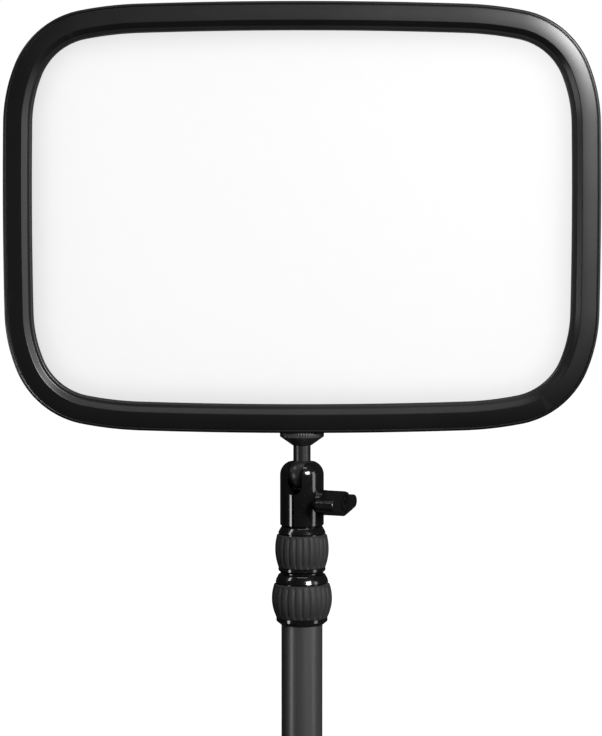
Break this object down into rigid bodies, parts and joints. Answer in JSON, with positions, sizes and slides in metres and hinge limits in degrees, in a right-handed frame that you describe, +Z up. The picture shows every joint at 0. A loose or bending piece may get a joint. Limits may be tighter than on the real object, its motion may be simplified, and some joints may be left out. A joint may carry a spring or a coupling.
{
  "type": "led panel light",
  "caption": "Flat LED key light with an opal diffuser on a slotted ball head, a telescopic twist-lock pole and a desk clamp.",
  "frame": {"origin": "on the desk top under the clamp's upper pad, on the pole's axis", "axes": "+Z up along the pole, the lit face looks towards -Y, +X to the right seen from the front"},
  "size_m": [0.35, 0.0809, 0.981],
  "materials": {
    "frame_black": "satin",
    "cover_black": "fine texture",
    "opal": "opal, lit from behind",
    "white_plastic": "matte white",
    "board_white": "white solder mask",
    "led_warm": "phosphor",
    "led_cool": "phosphor",
    "plate": "mill finish",
    "board_green": "green solder mask",
    "electronics": "moulded",
    "steel": "bright zinc",
    "steel_black": "black oxide",
    "gloss_black": "gloss black",
    "gloss_plastic": "gloss black",
    "satin_black": "satin black",
    "rubber_black": "matte",
    "nylon": "natural black",
    "anodised": "black anodised"
  },
  "bodies": {
    "stand": {"clamp_frame": "satin_black", "jaw_pad": "rubber_black", "pole_foot": "anodised", "foot_screws": "steel_black", "pole_bolt": "steel_black", "base_tube": "anodised", "lower_lock_ferrule": "gloss_plastic", "lower_lock_collet": "nylon"},
    "lower_collar": {"lower_lock_collar": "gloss_plastic", "lower_lock_grip": "rubber_black"},
    "mid_section": {"mid_tube": "anodised", "mid_bush": "nylon", "upper_lock_ferrule": "gloss_plastic", "upper_lock_collet": "nylon"},
    "upper_collar": {"upper_lock_collar": "gloss_plastic", "upper_lock_grip": "rubber_black"},
    "top_section": {"top_tube": "anodised", "top_bush": "nylon", "head_spigot": "plate", "head_housing": "gloss_black", "knob_nut": "steel"},
    "knob_washer": {"knob_washer": "steel"},
    "wing_knob": {"wing_knob": "gloss_plastic", "knob_screw": "steel"},
    "ball_seat": {"ball_seat": "nylon"},
    "ball_stud": {"ball_stud": "gloss_black"},
    "pressure_ring": {"rubber_ring": "rubber_black"},
    "lock_disc": {"lock_disc": "satin_black"},
    "panel": {"front_bezel": "frame_black", "diffuser": "opal", "reflector_frame": "white_plastic", "led_board": "board_white", "warm_leds": "led_warm", "cool_leds": "led_cool", "board_screws": "steel", "heat_spreader": "plate", "spreader_screws": "steel", "driver_standoffs": "steel", "driver_board": "board_green", "driver_parts": "electronics", "driver_screws": "steel", "mount_block": "anodised", "mount_screws": "steel", "back_cover": "cover_black", "cover_screws": "steel_black", "dc_jack": "gloss_plastic", "button_switch": "electronics"},
    "power_button": {"power_button": "gloss_plastic"},
    "clamp_pad": {"swivel_pad": "steel_black", "swivel_rubber": "rubber_black"},
    "clamp_screw": {"clamp_screw": "steel", "clamp_handle": "gloss_plastic"}
  },
  "joints": [
    {"name": "lower_collar_turn", "type": "hinge", "parent": "stand", "child": "lower_collar", "pos_m": [0, 0, 0.45], "axis": [0, 0, 1], "range_deg": [0, 120]},
    {"name": "mid_section_slide", "type": "slide", "parent": "stand", "child": "mid_section", "axis": [0, 0, 1], "range_m": [0, 0.35]},
    {"name": "upper_collar_turn", "type": "hinge", "parent": "mid_section", "child": "upper_collar", "pos_m": [0, 0, 0.48], "axis": [0, 0, 1], "range_deg": [0, 120]},
    {"name": "top_section_slide", "type": "slide", "parent": "mid_section", "child": "top_section", "axis": [0, 0, 1], "range_m": [0, 0.35]},
    {"name": "knob_travel", "type": "slide", "parent": "top_section", "child": "knob_washer", "axis": [0.9063, -0.4226, 0], "range_m": [0, 0.001]},
    {"name": "knob_turn", "type": "hinge", "parent": "knob_washer", "child": "wing_knob", "pos_m": [0, 0, 0.5095], "axis": [0.9063, -0.4226, 0], "range_deg": [0, 360]},
    {"name": "head_roll", "type": "hinge", "parent": "top_section", "child": "ball_seat", "pos_m": [0, 0, 0.526], "axis": [-0.4226, -0.9063, 0], "range_deg": [-10, 10]},
    {"name": "head_tilt", "type": "hinge", "parent": "ball_seat", "child": "ball_stud", "pos_m": [0, 0, 0.526], "axis": [0.9063, -0.4226, 0], "range_deg": [-10, 90]},
    {"name": "lock_disc_travel", "type": "slide", "parent": "ball_stud", "child": "pressure_ring", "axis": [0, 0, -1], "range_m": [0, 0.00127]},
    {"name": "lock_disc_turn", "type": "hinge", "parent": "pressure_ring", "child": "lock_disc", "pos_m": [0, 0, 0.55], "axis": [0, 0, -1], "range_deg": [0, 360]},
    {"name": "panel_turn", "type": "hinge", "parent": "ball_stud", "child": "panel", "pos_m": [0, 0, 0.56], "axis": [0, 0, 1], "range_deg": [-180, 180]},
    {"name": "power_button_press", "type": "slide", "parent": "panel", "child": "power_button", "axis": [0, -1, 0], "range_m": [0, 0.0006], "stiffness_N_per_m": 800, "springref_m": -0.001},
    {"name": "clamp_travel", "type": "slide", "parent": "stand", "child": "clamp_pad", "axis": [0, 0, 1], "range_m": [0, 0.055]},
    {"name": "clamp_screw_turn", "type": "hinge", "parent": "clamp_pad", "child": "clamp_screw", "pos_m": [0, 0, -0.1], "axis": [0, 0, 1], "range_deg": [0, 6600]}
  ],
  "couplings": [
    {"joint": "knob_travel", "follows": "knob_turn", "m_per_rad": 0.00015915},
    {"joint": "lock_disc_travel", "follows": "lock_disc_turn", "m_per_rad": 0.00020213},
    {"joint": "clamp_travel", "follows": "clamp_screw_turn", "m_per_rad": 0.00047746}
  ]
}
